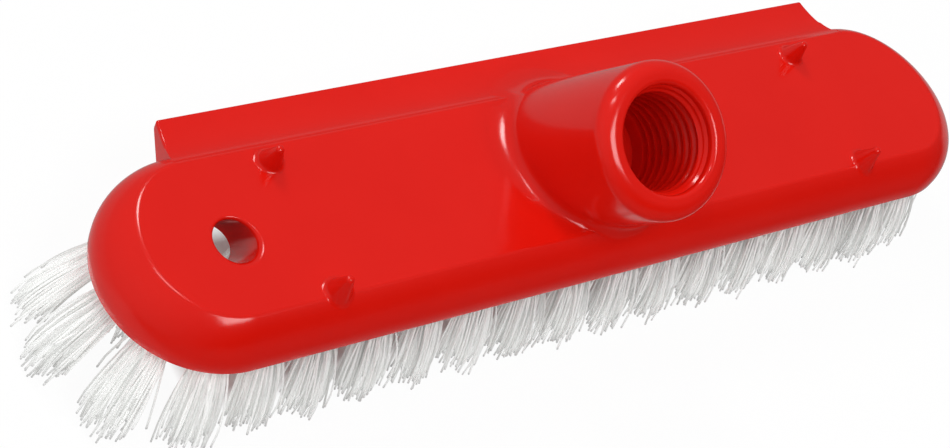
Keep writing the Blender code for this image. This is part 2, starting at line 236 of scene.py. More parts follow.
def hang_softbox(name, azimuth, elevation, width, height, watts):
    """A rectangular lamp that faces the brush. Angles are in degrees, azimuth from +X to +Y."""
    azimuth, elevation = radians(azimuth), radians(elevation)
    way = Vector((cos(azimuth) * cos(elevation), sin(azimuth) * cos(elevation), sin(elevation)))
    bpy.ops.object.light_add(type="AREA", location=way, rotation=way.to_track_quat("Z", "Y").to_euler())
    lamp = bpy.context.object
    lamp.name = name
    lamp.data.shape = "RECTANGLE"
    lamp.data.size = width
    lamp.data.size_y = height
    lamp.data.energy = watts
    return lamp


hang_softbox("front_softbox", azimuth=-88, elevation=60, width=0.50, height=0.38, watts=4.1)
hang_softbox("back_softbox", azimuth=94, elevation=48, width=0.18, height=0.26, watts=2.1)
hang_softbox("strip_lamp", azimuth=134, elevation=71, width=0.05, height=0.26, watts=0.55)

world = bpy.data.worlds.new("room")
bpy.context.scene.world = world
wire = blank_tree(world)
heading = object_place(wire)
mirrored = ROOM_SHADE + ROOM_RISE * heading.dot(ROOM_BRIGHT_SIDE).ramp(-ROOM_TURN, 1.0)
across, deep, _ = heading.axes()
fill = ROOM_FILL + ROOM_ENDS * (across * across - deep * deep) + heading.dot(ROOM_LEAN)
sight, gloss, through = kinds_of_ray(wire)
white = (sight + through).held()
level = white + (1 - white) * (gloss * mirrored + (1 - gloss) * fill)
wire.add("OutputWorld", sockets={"Surface": wire.add("Background", sockets={"Color": level})})

# %% [markdown]
# ## The table
#
# The camera sees most of the table as plain white. A share of its own shading stays, and with it the shadow.
# What glossy plastic mirrors of it goes from black in front of the brush to pale behind it, as a list of
# greys over its depth. Under the brush, where little light gets in between the bristles, the table is dark
# for both.

# %% Table
TABLE_SIZE = 8.0
TABLE_GAP = 0.2 * MM
TABLE_WHITE = 0.90
TABLE_SEEN_WHITE = 1.0
TABLE_DIM = 0.03
TABLE_MIRRORED = [
    (0.0, 0.01), (0.24, 0.01), (0.30, 0.14), (0.36, 0.28), (0.50, 0.42), (0.62, 0.45), (0.80, 0.30),
]
MIRRORED_HALF = 100.0 * MM
SEEN_SHARE = 0.94
GLOSS_SHARE = 0.98
DARK_HALF = (118.0 * MM, 28.0 * MM)
UNSEEN_HALF = (98.0 * MM, 22.0 * MM)
SHADE_FADE = 5.0 * MM

bpy.ops.mesh.primitive_plane_add(size=TABLE_SIZE, location=(0.0, 0.0, -TABLE_GAP))
table = bpy.context.object
table.name = "table"
material = bpy.data.materials.new("white_table")
wire = blank_tree(material)
across, deep, _ = object_place(wire).axes()
mirrored = wire.add("ValToRGB", {"stops": TABLE_MIRRORED}, {"Fac": deep.ramp(-MIRRORED_HALF, MIRRORED_HALF)})


def beneath(halves):
    """One under the brush, falling to nothing at the edges."""
    share = 1.0
    for place, half in zip((across, deep), halves):
        share = wire.maths("ABSOLUTE", place, 0.0).ramp(half, half - SHADE_FADE) * share
    return share


sight, gloss, through = kinds_of_ray(wire)
paint = TABLE_WHITE + (TABLE_SEEN_WHITE - TABLE_WHITE) * sight
shaded = wire.add("BsdfDiffuse", sockets={"Color": paint})
dimmed = blend(wire, mirrored, grey(TABLE_DIM), beneath(DARK_HALF))
glow = wire.add("Emission", sockets={"Color": blend(wire, grey(1.0), dimmed, gloss)})
seen = ((sight + through) * (SEEN_SHARE - SEEN_SHARE * beneath(UNSEEN_HALF)) + gloss * GLOSS_SHARE).held()
surface = wire.add("MixShader", sockets={0: seen, 1: shaded, 2: glow})
wire.add("OutputMaterial", sockets={"Surface": surface})
table.data.materials.append(material)
table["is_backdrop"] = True
bpy.context.scene.view_settings.view_transform = "Standard"
print("table is", [round(v, 1) for v in table.dimensions], "m")

# %% [markdown]
# ## Tools for the moulding
#
# Three helpers do what a modeller does again and again: pick one piece, skin a stack of rings, and join or
# cut with another piece. The skin starts as a circle, which is extruded ring by ring. Each corner carries its
# number in the ring, and the extruded copy inherits it, so that the next row fits it.
#
# A mould has no razor edges, and the light along a softened crease is what makes the plastic look real. So
# every crease is softened where its outline is drawn, with a short curve between a point on each side of the
# corner.

# %% Helpers
def pick(piece):
    bpy.ops.object.select_all(action="DESELECT")
    piece.select_set(True)
    bpy.context.view_layer.objects.active = piece


def skin(name, rows):
    """A closed skin over rows of points. Every row has the same number of them."""
    bpy.ops.object.select_all(action="DESELECT")
    bpy.ops.mesh.primitive_circle_add(vertices=len(rows[0]), fill_type="NGON", enter_editmode=True)
    piece = bpy.context.object
    piece.name = name
    mesh = bmesh.from_edit_mesh(piece.data)
    order = mesh.verts.layers.int.new("order")
    for i, corner in enumerate(mesh.verts):
        corner[order] = i
    for number, row in enumerate(rows):
        if number:
            bpy.ops.mesh.extrude_region_move()
        mesh = bmesh.from_edit_mesh(piece.data)
        order = mesh.verts.layers.int["order"]
        for corner in mesh.verts:
            if corner.select:
                corner.co = row[corner[order]]
        bmesh.update_edit_mesh(piece.data)
    bpy.ops.mesh.select_all(action="SELECT")
    bpy.ops.mesh.normals_make_consistent(inside=False)
    bpy.ops.object.mode_set(mode="OBJECT")
    piece.data.attributes.remove(piece.data.attributes["order"])
    return piece


def shape_with(piece, tool, operation):
    """Joins a tool to a piece or cuts it away, and deletes the tool."""
    pick(piece)
    modifier = piece.modifiers.new("shape", "BOOLEAN")
    modifier.operation = operation
    modifier.solver = "EXACT"
    modifier.object = tool
    bpy.ops.object.modifier_apply(modifier=modifier.name)
    bpy.data.objects.remove(tool, do_unlink=True)


def turns(sides):
    """The angles round a ring."""
    return [2 * pi * i / sides for i in range(sides)]


def quarter(steps):
    return [pi / 2 * i / steps for i in range(steps + 1)]


def soften(before, corner, after, steps):
    """A curve that leaves one point towards the corner and arrives at the other point from it."""
    curve = []
    for i in range(steps + 1):
        t = i / steps
        shares = ((1 - t) ** 2, 2 * t * (1 - t), t * t)
        values = zip(before, corner, after)
        curve.append(tuple(sum(share * v for share, v in zip(shares, three)) for three in values))
    return curve


def height_on(profile, y):
    """Height of a profile above y. It is a list of (y, z) points that run outwards."""
    for (y0, z0), (y1, z1) in zip(profile, profile[1:]):
        if y0 < y <= y1:
            return z0 + (z1 - z0) * (y - y0) / (y1 - y0)
    return profile[0][1] if y <= profile[0][0] else profile[-1][1]


print("a ring of 96 has a corner every", 360 / len(turns(96)), "degrees")

# %% [markdown]
# ## The slab
#
# The moulding's body is a long oval with a flat top and a convex edge that rolls down to the side. As by
# hand, it starts as a filled circle. Each extrusion grows the next ring of the rolled edge, as an oval with
# no straight sides yet. At the end each half is pulled outwards, which opens the straight sides between them.

# %% Slab
BLOCK_LENGTH = 230.0 * MM
BLOCK_WIDTH = 49.3 * MM
BLOCK_THICKNESS = 12.0 * MM
END_DEPTH = 23.3 * MM
ROLL_HEIGHT = 10.2 * MM
ROLL_SIDE = 5.6 * MM
ROLL_END = 8.0 * MM
ROLL_START = radians(30.0)
ROLL_STEPS = 16
CREASE_SOFT = 0.45 * MM
CREASE_ANGLE = radians(33.0)
CREASE_STEPS = 5
UNDER_EDGE = 0.7 * MM
UNDER_STEPS = 4
UNDER_Z = 19.0 * MM
TOP_Z = UNDER_Z + BLOCK_THICKNESS
STRAIGHT_HALF = BLOCK_LENGTH / 2 - END_DEPTH
TOP_HALF_WIDTH = BLOCK_WIDTH / 2 - ROLL_SIDE
OVAL_CORNERS = 144


def roll_level(angle):
    """A level of the rolled edge, as (inset at the ends, inset at the sides, height)."""
    inset = (1.0 - sin(angle)) / (1.0 - sin(ROLL_START))
    drop = ROLL_HEIGHT * (cos(ROLL_START) - cos(angle)) / cos(ROLL_START)
    return ROLL_END * inset, ROLL_SIDE * inset, TOP_Z - drop


def slab_levels():
    """From the softened crease round the flat top down to the underside."""
    flat = (ROLL_END + CREASE_SOFT, ROLL_SIDE + CREASE_SOFT, TOP_Z)
    levels = soften(flat, roll_level(ROLL_START), roll_level(CREASE_ANGLE), CREASE_STEPS)
    for i in range(1, ROLL_STEPS + 1):
        levels.append(roll_level(CREASE_ANGLE + (pi / 2 - CREASE_ANGLE) * i / ROLL_STEPS))
    for angle in quarter(UNDER_STEPS)[1:]:
        inset = UNDER_EDGE * (1 - cos(angle))
        levels.append((inset, inset, UNDER_Z + UNDER_EDGE * (1 - sin(angle))))
    return levels


levels = slab_levels()
height = levels[0][2]
bpy.ops.mesh.primitive_circle_add(
    vertices=OVAL_CORNERS, radius=1.0, fill_type="NGON", enter_editmode=True,
    location=(0.0, 0.0, height), rotation=(0.0, 0.0, pi / OVAL_CORNERS),
)
moulding = bpy.context.object
moulding.name = "moulded_block"
size_now = (1.0, 1.0)
for number, (end, side, z) in enumerate(levels):
    if number:
        bpy.ops.mesh.extrude_region_move(TRANSFORM_OT_translate={"value": (0.0, 0.0, z - height)})
    size_next = (END_DEPTH - end, BLOCK_WIDTH / 2 - side)
    grow = (size_next[0] / size_now[0], size_next[1] / size_now[1], 1.0)
    bpy.ops.transform.resize(value=grow, orient_type="GLOBAL", center_override=(0.0, 0.0, z))
    size_now, height = size_next, z
bpy.ops.mesh.select_all(action="SELECT")
bpy.ops.mesh.normals_make_consistent(inside=False)
bpy.ops.object.mode_set(mode="OBJECT")
bpy.ops.object.transform_apply()
for way in (-1, 1):
    bpy.ops.object.mode_set(mode="EDIT")
    bpy.ops.mesh.select_mode(type="VERT")
    bpy.ops.mesh.select_all(action="DESELECT")
    mesh = bmesh.from_edit_mesh(moulding.data)
    for corner in mesh.verts:
        corner.select = corner.co.x * way > 0
    bmesh.update_edit_mesh(moulding.data)
    bpy.ops.transform.translate(value=(way * STRAIGHT_HALF, 0.0, 0.0))
    bpy.ops.object.mode_set(mode="OBJECT")
front_profile = [(BLOCK_WIDTH / 2 - side, z) for _, side, z in levels]
print("slab in mm", [round(v / MM, 2) for v in moulding.dimensions], "faces", len(moulding.data.polygons))

# %% [markdown]
# ## The scraper lip
#
# Behind the flat top the moulding runs out into a thin lip with a hollow upper face, for scraping off what
# the bristles leave. A straight bar is joined to the slab first. One cutter with the hollow's curve then
# clears the bar and the rolled edge under it in one go, so that the hollow meets the flat top in one clean
# line.
#
# Bar and cutter are rows of one section along the lip. At both ends the last rows step round a quarter turn:
# the bar's section draws in and the cutter's drops, which softens the edges of the lip's end faces.

# %% Lip
LIP_LENGTH = 185.0 * MM
LIP_END_DRAFT = 2.2 * MM
LIP_REACH = 13.3 * MM
LIP_DROP = 3.1 * MM
LIP_EDGE = 2.5 * MM
LIP_SOFT = 0.5 * MM
LIP_STEPS = 4
COVE_START = 4.0 * MM
COVE_DIP = 3.9 * MM
COVE_STEPS = 24
COVE_FROM = 0.06
COVE_TO = 0.973
OVERLAP = 3.0 * MM
SKIM = 0.5 * MM
HAIR = 0.01 * MM
END_PLAY = 0.2 * MM
TIP_Y = TOP_HALF_WIDTH + LIP_REACH
TIP_Z = TOP_Z - LIP_DROP
LIP_STATIONS = [(-1, angle) for angle in reversed(quarter(LIP_STEPS))]
LIP_STATIONS += [(1, angle) for angle in quarter(LIP_STEPS)]


def hollow_point(t):
    """The hollow face from the crease (0) to the tip (1)."""
    out = 2 * t * (1 - t) * COVE_START + t * t * LIP_REACH
    drop = 2 * t * (1 - t) * COVE_DIP + t * t * LIP_DROP
    return TOP_HALF_WIDTH + out, TOP_Z - drop


def hollow_profile():
    """The hollow face with both its edges softened. It starts a hair above the flat top, to cut cleanly."""
    flat = (TOP_HALF_WIDTH - CREASE_SOFT, TOP_Z + HAIR / 2)
    corner = (TIP_Y - HAIR, TIP_Z)
    points = soften(flat, (TOP_HALF_WIDTH, TOP_Z), hollow_point(COVE_FROM), CREASE_STEPS)
    for i in range(1, COVE_STEPS):
        points.append(hollow_point(COVE_FROM + (COVE_TO - COVE_FROM) * i / COVE_STEPS))
    return points + soften(hollow_point(COVE_TO), corner, (TIP_Y - HAIR, TIP_Z - LIP_SOFT), CREASE_STEPS)


def bar_section(inset):
    """The bar cut across, with its underside and its tip drawn in by the inset."""
    under = (BLOCK_WIDTH / 2 - UNDER_EDGE, UNDER_Z + UNDER_EDGE + inset)
    corner = (TIP_Y - inset, TIP_Z - LIP_EDGE + inset / 2)
    near = tuple(c + (u - c) * LIP_SOFT / (TIP_Y - under[0]) for c, u in zip(corner, under))
    tip = soften(near, corner, (corner[0], corner[1] + LIP_SOFT), LIP_STEPS)
    inner = TOP_HALF_WIDTH - OVERLAP
    return [(inner, under[1]), under, *tip, (corner[0], TIP_Z + SKIM), (inner, TOP_Z - SKIM)]


def hollow_section(inset):
    """The cutter, dropped by the inset where the lip stands clear of the slab."""
    points = [(y, z - min(inset, max(y - BLOCK_WIDTH / 2, 0.0))) for y, z in back_profile]
    far = TIP_Y + OVERLAP
    return points + [(far, points[-1][1]), (far, TOP_Z + OVERLAP), (back_profile[0][0], TOP_Z + OVERLAP)]


def lip_row(way, section, draft, short):
    """One section, placed short of the lip's end. The draft shortens the lip towards its tip."""
    length = LIP_LENGTH / 2 - short
    return [Vector((way * (length - draft * (y - TOP_HALF_WIDTH) / LIP_REACH), y, z)) for y, z in section]


def lip_rows(section, play):
    rows = []
    for way, angle in LIP_STATIONS:
        inset = LIP_SOFT * (1 - cos(angle))
        rows.append(lip_row(way, section(inset), LIP_END_DRAFT, LIP_SOFT * (1 - sin(angle)) + play))
    return rows


back_profile = hollow_profile()
shape_with(moulding, skin("bar", lip_rows(bar_section, 0.0)), "UNION")
past_left = lip_row(-1, hollow_section(LIP_SOFT), -LIP_END_DRAFT, -END_PLAY)
past_right = lip_row(1, hollow_section(LIP_SOFT), -LIP_END_DRAFT, -END_PLAY)
shape_with(moulding, skin("hollow", [past_left, *lip_rows(hollow_section, HAIR), past_right]), "DIFFERENCE")
print("lip reaches y =", round(max(v.co.y for v in moulding.data.vertices) / MM, 2), "mm")

# %% [markdown]
# ## The handle socket
#
# A handle screws into a round boss that leans to the front. A lathe shape would be easy, but its foot has to
# meet the flat top, the crease and the rolled edge in one soft fillet. So the foot is worked out side by
# side: each line of the wall is followed down to the skin, and a curve that is tangent to both carries one
# into the other. The pips are small leaning cones with the same kind of foot, so they share the function.

# %% Socket and pips
SOCKET_TILT = radians(32.6)
SOCKET_FOOT = Vector((0.0, 0.7 * MM, TOP_Z))
SOCKET_LENGTH = 31.2 * MM
SOCKET_RADIUS = 17.2 * MM
SOCKET_FILLET = (4.2 * MM, 6.2 * MM, 4.2 * MM)
SOCKET_SIDES = 144
RIM_ROUND = 3.6 * MM
RIM_STEPS = 12
PIP_SPACING = 145.5 * MM
PIP_ROWS = (0.9 * MM - TOP_HALF_WIDTH, TOP_HALF_WIDTH - 4.2 * MM)
PIP_TILT = radians(11.5)
PIP_HEIGHT = 6.4 * MM
PIP_RADIUS = 2.8 * MM
PIP_TIP = 0.7 * MM
PIP_FILLET = (0.9 * MM, 1.1 * MM, 0.9 * MM)
PIP_SIDES = 36
PIP_TIP_STEPS = 6
FOOT_SINK = 0.05 * MM
SKIRT_OUT = 0.2
SKIRT_DROP = 0.5 * MM
HALVINGS = 50
FRONT_SPREAD = 0.6
FRONT_PART = 1.4
FILLET_STEPS = 10
ACROSS = Vector((1.0, 0.0, 0.0))


def skin_height(y):
    """Height of the moulding's upper skin along its straight middle."""
    return height_on(back_profile, y) if y > 0 else height_on(front_profile, -y)


def ring_round(centre, axis, radius, sides):
    up = axis.cross(ACROSS)
    return [centre + (ACROSS * cos(a) + up * sin(a)) * radius for a in turns(sides)]


def foot_rows(foot, axis, radius_at, height, sides, fillet):
    """Rings of a boss's foot, from inside the moulding, over the fillet and up to the wall.

    The fillet is given as its reach over the skin at the front and elsewhere, and its rise up the wall."""
    front_reach, reach, rise = fillet
    up = axis.cross(ACROSS)
    rows = [[] for _ in range(FILLET_STEPS + 3)]
    for angle in turns(sides):
        out = ACROSS * cos(angle) + up * sin(angle)
        low, high = -height, height
        for _ in range(HALVINGS):
            middle = (low + high) / 2
            point = foot + axis * middle + out * radius_at(middle)
            if point.z < skin_height(point.y):
                low = middle
            else:
                high = middle
        corner = foot + axis * high + out * radius_at(high)
        away = out - axis * out.dot(axis)
        away.z = 0.0
        away.normalize()
        from_front = min(max(away.y / FRONT_SPREAD + FRONT_PART, 0.0), 1.0)
        heel = corner + away * (front_reach + (reach - front_reach) * from_front)
        heel.z = skin_height(heel.y) - FOOT_SINK
        shoulder = foot + axis * (high + rise) + out * radius_at(high + rise)
        skirt = heel + away * SKIRT_OUT * MM
        skirt.z = skin_height(skirt.y) - SKIRT_DROP
        deep = corner.lerp(foot, 0.5)
        deep.z = skirt.z - SKIRT_DROP
        rows[0].append(deep)
        rows[1].append(skirt)
        for i in range(FILLET_STEPS + 1):
            t = i / FILLET_STEPS
            rows[i + 2].append(heel * (1 - t) ** 2 + corner * (2 * t * (1 - t)) + shoulder * t * t)
    return rows


socket_way = Vector((0.0, -sin(SOCKET_TILT), cos(SOCKET_TILT)))
rows = foot_rows(
    SOCKET_FOOT, socket_way, lambda level: SOCKET_RADIUS, SOCKET_LENGTH, SOCKET_SIDES, SOCKET_FILLET,
)
for angle in quarter(RIM_STEPS):
    centre = SOCKET_FOOT + socket_way * (SOCKET_LENGTH - RIM_ROUND * (1 - sin(angle)))
    rows.append(ring_round(centre, socket_way, SOCKET_RADIUS - RIM_ROUND * (1 - cos(angle)), SOCKET_SIDES))
shape_with(moulding, skin("socket", rows), "UNION")

pip_way = Vector((0.0, -sin(PIP_TILT), cos(PIP_TILT)))
pip_taper = (PIP_RADIUS - PIP_TIP) / PIP_HEIGHT


def pip_radius(level):
    return PIP_RADIUS - pip_taper * level


for x in (-PIP_SPACING / 2, PIP_SPACING / 2):
    for y in PIP_ROWS:
        foot = Vector((x, y, TOP_Z))
        rows = foot_rows(foot, pip_way, pip_radius, PIP_HEIGHT, PIP_SIDES, PIP_FILLET)
        for angle in quarter(PIP_TIP_STEPS)[:-1]:
            centre = foot + pip_way * (PIP_HEIGHT - PIP_TIP * (1 - sin(angle)))
            rows.append(ring_round(centre, pip_way, PIP_TIP * (1 + pip_taper) * cos(angle), PIP_SIDES))
        shape_with(moulding, skin("pip", rows), "UNION")
print("with socket and pips", len(moulding.data.polygons), "faces")

# %% [markdown]
# ## The threaded bore, the hanging hole and the tuft holes
#
# These are cut last. The bore's cutter is a stack of rings whose radius swells and shrinks with the turn and
# the depth, which winds a low helical ridge. Both mouths are rounded. The hanging hole slants like the
# socket, so each of its rings is shifted. The tuft holes are drilled with one cutter that joins a drill for
# each.

# %% Where the tufts sit
SIDE_TUFTS = 14
END_TUFTS = 5
EDGE_INSET = 6.8 * MM
INNER_TUFTS = 9
INNER_OFFSET = 5.8 * MM
INNER_FIRST = 16.5 * MM - BLOCK_LENGTH / 2
INNER_LAST = BLOCK_LENGTH / 2 - 22.7 * MM
LEAN_SIDE = radians(19.0)
LEAN_ENDS = {"left_end": radians(32.0), "right_end": radians(14.0)}
DOWN = Vector((0.0, 0.0, -1.0))


def tuft_seats():
    """CAD node, middle of the hole's mouth, and the direction that the bristles leave in."""
    reach = END_DEPTH - EDGE_INSET
    half = BLOCK_WIDTH / 2 - EDGE_INSET
    seats = []
    for word, way in (("front", -1), ("back", 1)):
        for k in range(SIDE_TUFTS):
            x = STRAIGHT_HALF * (2 * (k + 0.5) / SIDE_TUFTS - 1)
            lean = Vector((0.0, way * tan(LEAN_SIDE), -1.0)).normalized()
            seats.append((f"tuft_{word}_{k + 1:02d}", Vector((x, way * half, UNDER_Z)), lean))
    for word, way in (("left_end", -1), ("right_end", 1)):
        for k in range(END_TUFTS):
            angle = -pi / 2 + pi * (k + 0.5) / END_TUFTS
            mouth = Vector((way * (STRAIGHT_HALF + reach * cos(angle)), half * sin(angle), UNDER_Z))
            out = Vector((way * cos(angle) / reach, sin(angle) / half, 0.0)).normalized()
            lean = LEAN_SIDE + (LEAN_ENDS[word] - LEAN_SIDE) * abs(out.x)
            seats.append((f"tuft_{word}_{k + 1}", mouth, (DOWN + out * tan(lean)).normalized()))
    for word, way in (("inner_front", -1), ("inner_back", 1)):
        for k in range(INNER_TUFTS):
            x = INNER_FIRST + (INNER_LAST - INNER_FIRST) * k / (INNER_TUFTS - 1)
            seats.append((f"tuft_{word}_{k + 1:02d}", Vector((x, way * INNER_OFFSET, UNDER_Z)), DOWN.copy()))
    return seats


seats = tuft_seats()
print(len(seats), "tufts")

# %% Cut the holes
MOUTH_RADIUS = 11.7 * MM
MOUTH_ROUND = 1.2 * MM
MOUTH_STEPS = 8
MOUTH_DEPTH = 1.9 * MM
THREAD_ROOT = 11.2 * MM
THREAD_HEIGHT = 0.7 * MM
THREAD_PITCH = 2.5 * MM
THREAD_TURNS = 8
THREAD_START = MOUTH_DEPTH + 0.6 * MM
THREAD_ROWS = 10
THREAD_RUN_OUT = 0.8 * MM
BORE_DEPTH = 27.0 * MM
BORE_END = 10.5 * MM
BORE_SIDES = 72
HANG_X = 26.9 * MM - BLOCK_LENGTH / 2
HANG_Y = -1.8 * MM
HANG_RADIUS = 4.5 * MM
HANG_ROUND = 1.1 * MM
HANG_SIDES = 64
HOLE_RADIUS = 3.0 * MM
HOLE_DEPTH = 7.0 * MM
HOLE_SIDES = 24


def bore_ring(depth, radius_at):
    """A ring of the bore's cutter, whose radius may change round it."""
    up = socket_way.cross(ACROSS)
    centre = SOCKET_FOOT + socket_way * (SOCKET_LENGTH - depth)
    return [centre + (ACROSS * cos(a) + up * sin(a)) * radius_at(a) for a in turns(BORE_SIDES)]


def thread_radius(depth, angle):
    """The ridge winds down the bore and fades over half a turn at both ends."""
    end = THREAD_START + THREAD_PITCH * THREAD_TURNS
    fade = min(depth - THREAD_START, end - depth) / (THREAD_PITCH / 2)
    wave = (1 - cos(2 * pi * depth / THREAD_PITCH - angle)) / 2
    return THREAD_ROOT - THREAD_HEIGHT * wave * min(max(fade, 0.0), 1.0)


rows = [bore_ring(-OVERLAP, lambda a: MOUTH_RADIUS + MOUTH_ROUND)]
for angle in quarter(MOUTH_STEPS):
    radius = MOUTH_RADIUS + MOUTH_ROUND * (1 - sin(angle))
    rows.append(bore_ring(MOUTH_ROUND * (1 - cos(angle)), lambda a: radius))
rows.append(bore_ring(MOUTH_DEPTH, lambda a: MOUTH_RADIUS))
for i in range(THREAD_TURNS * THREAD_ROWS + 1):
    depth = THREAD_START + THREAD_PITCH * i / THREAD_ROWS
    rows.append(bore_ring(depth, lambda a: thread_radius(depth, a)))
rows.append(bore_ring(THREAD_START + THREAD_PITCH * THREAD_TURNS + THREAD_RUN_OUT, lambda a: BORE_END))
rows.append(bore_ring(BORE_DEPTH, lambda a: BORE_END))
shape_with(moulding, skin("bore", rows), "DIFFERENCE")

levels = [(TOP_Z + OVERLAP, HANG_ROUND)]
levels += [(TOP_Z - HANG_ROUND * (1 - cos(a)), HANG_ROUND * (1 - sin(a))) for a in quarter(MOUTH_STEPS)]
levels += [(UNDER_Z + UNDER_EDGE * (1 - sin(a)), UNDER_EDGE * (1 - cos(a))) for a in quarter(UNDER_STEPS)]
levels.append((UNDER_Z - OVERLAP, UNDER_EDGE))
rows = []
for z, flare in levels:
    y = HANG_Y + (TOP_Z - min(max(z, UNDER_Z), TOP_Z)) * tan(SOCKET_TILT)
    wide = HANG_RADIUS + flare
    long = HANG_RADIUS / cos(SOCKET_TILT) + flare
    rows.append([Vector((HANG_X + wide * cos(a), y + long * sin(a), z)) for a in turns(HANG_SIDES)])
shape_with(moulding, skin("hanging_hole", rows), "DIFFERENCE")

bpy.ops.object.select_all(action="DESELECT")
for _, mouth, lean in seats:
    middle = mouth + lean * (OVERLAP - HOLE_DEPTH) / 2
    bpy.ops.mesh.primitive_cylinder_add(
        vertices=HOLE_SIDES, radius=HOLE_RADIUS, depth=HOLE_DEPTH + OVERLAP, location=middle,
        rotation=lean.to_track_quat("Z", "Y").to_euler(),
    )
    bpy.context.object.name = "drill"
for drill in [item for item in bpy.data.objects if item.name.startswith("drill")]:
    drill.select_set(True)
bpy.ops.object.join()
drills = bpy.context.object
bpy.ops.object.transform_apply()
shape_with(moulding, drills, "DIFFERENCE")
print("with all holes", len(moulding.data.polygons), "faces")

# %% [markdown]
# ## Clean shading
#
# Joining and cutting leaves long thin faces beside small ones, and plain smooth shading would smear light
# across them. The Weighted Normal modifier lets the larger face win at each corner, so the flat top shades
# flat up to the very start of a fillet, and truly sharp edges stay sharp.

# %% Shade the moulding
SAME_PLACE = 0.002 * MM
SHARP_FROM = radians(38)
FACE_WEIGHT = 80

pick(moulding)
bpy.ops.object.mode_set(mode="EDIT")
bpy.ops.mesh.select_all(action="SELECT")
bpy.ops.mesh.remove_doubles(threshold=SAME_PLACE)
bpy.ops.object.mode_set(mode="OBJECT")
bpy.ops.object.shade_smooth_by_angle(angle=SHARP_FROM)
modifier = moulding.modifiers.new("weights", "WEIGHTED_NORMAL")
modifier.keep_sharp = True
modifier.weight = FACE_WEIGHT
bpy.ops.object.modifier_apply(modifier=modifier.name)
print("moulding has", sum(len(face.vertices) - 2 for face in moulding.data.polygons), "triangles")

# %% [markdown]
# ## Glossy red plastic
#
# The plastic is coloured through, hard and polished. Under its gloss it is a touch cloudy, where the melt
# flowed unevenly, and its surface has the faint unevenness of a mould wall. Noise on Object coordinates does
# both: a broad one for the colour, a fine one for the gloss, and the fine one with a low wave for the bump.

# %% Red plastic
RED_DEEP = (0.73, 0.0062, 0.0022, 1.0)
RED_PALE = (0.79, 0.0092, 0.0036, 1.0)
CLOUD = {"Scale": 45.0, "Detail": 3.0}
GRAIN = {"Scale": 900.0, "Detail": 2.0}
WAVE = {"Scale": 130.0, "Detail": 1.0}
WAVE_SHARE = 0.7
BUMP = {"Strength": 0.08, "Distance": 0.1 * MM}
POLISH = 0.10
GRAIN_ROUGHNESS = 0.08
CLOUD_ROUGHNESS = 0.04
PLASTIC_IOR = 1.49


def red_plastic():
    material = bpy.data.materials.new("red_plastic")
    wire = blank_tree(material)
    place = object_place(wire)
    cloud, grain, wave = (
        wire.add("TexNoise", sockets={"Vector": place, **noise}) for noise in (CLOUD, GRAIN, WAVE)
    )
    height = wave * WAVE_SHARE + grain * (1 - WAVE_SHARE)
    shader = wire.add("BsdfPrincipled", sockets={
        "Base Color": blend(wire, RED_DEEP, RED_PALE, cloud),
        "Roughness": POLISH + grain * GRAIN_ROUGHNESS + cloud * CLOUD_ROUGHNESS,
        "IOR": PLASTIC_IOR,
        "Normal": wire.add("Bump", sockets={**BUMP, "Height": height}),
    })
    wire.add("OutputMaterial", sockets={"Surface": shader})
    return material


moulding.data.materials.clear()
moulding.data.materials.append(red_plastic())
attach(moulding, "root")
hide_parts("block")
print("red plastic on", moulding.name)

# %% [markdown]
# ## One filament
#
# A bristle is a nylon filament about 0.45 mm thick. One is modelled with care: a slim upright cylinder of
# unit length, cut into short lengths so that it can bend, with its end rounded off by an inset. Every other
# filament is a copy of it, laid along a curve of its own.

# %% Model the filament
FILAMENT_RADIUS = 0.225 * MM
FILAMENT_CUTS = 7
FILAMENT_SIDES = 6
END_INSET = 0.4
END_RISE = 0.012

bpy.ops.object.select_all(action="DESELECT")
bpy.ops.mesh.primitive_cylinder_add(
    vertices=FILAMENT_SIDES, radius=1.0, depth=1.0, location=(0.0, 0.0, 0.5), enter_editmode=True,
)
filament = bpy.context.object
filament.name = "filament"
bpy.ops.mesh.select_mode(type="EDGE")
bpy.ops.mesh.select_all(action="DESELECT")
mesh = bmesh.from_edit_mesh(filament.data)
for edge in mesh.edges:
    edge.select = abs(edge.verts[0].co.z - edge.verts[1].co.z) > 0.5
bmesh.update_edit_mesh(filament.data)
bpy.ops.mesh.subdivide(number_cuts=FILAMENT_CUTS)
bpy.ops.mesh.select_mode(type="FACE")
bpy.ops.mesh.select_all(action="DESELECT")
mesh = bmesh.from_edit_mesh(filament.data)
for face in mesh.faces:
    face.select = face.normal.z > 0.9
bmesh.update_edit_mesh(filament.data)
bpy.ops.mesh.inset(thickness=END_INSET)
bpy.ops.transform.translate(value=(0.0, 0.0, END_RISE))
bpy.ops.object.mode_set(mode="OBJECT")
bpy.ops.object.transform_apply()
pattern_points = [vertex.co.copy() for vertex in filament.data.vertices]
pattern_faces = [tuple(face.vertices) for face in filament.data.polygons]
bpy.data.objects.remove(filament, do_unlink=True)
print("a filament has", len(pattern_faces), "faces")

# %% [markdown]
# ## White nylon
#
# Nylon filament is milky: light goes in, scatters and comes out, so a bundle looks white where it is lit and
# a soft grey where it is deep. Light that wanders from filament to filament would take more bounces than a
# render has, so a faint glow stands in for it. It fades towards the root, where little light gets in, except
# at the left end, where the tufts stand free. Each filament has its own tone, kept as an attribute on its
# points. A second attribute runs from root to tip. It sets the glow, and turns the cut end grey.

# %% Nylon
NYLON_WHITE = (0.985, 0.99, 0.98, 1.0)
NYLON_GREY = (0.66, 0.665, 0.65, 1.0)
NYLON_ROUGHNESS = 0.35
TONE_ROUGHNESS = 0.2
NYLON_IOR = 1.45
CUT_GREY = 0.60
CUT_SHARE = 0.8
CUT_FROM = 0.975
INNER_GLOW = 0.16
DIM_UNTIL = 0.37
BRIGHT_FROM = 0.98
FREE_FROM = -78.0 * MM
FREE_TO = -103.0 * MM


def point_value(wire, name):
    """A number that is kept on each point of the mesh. Attribute gives it as its output 2."""
    return wire.add("Attribute", {"attribute_name": name}, out=2)


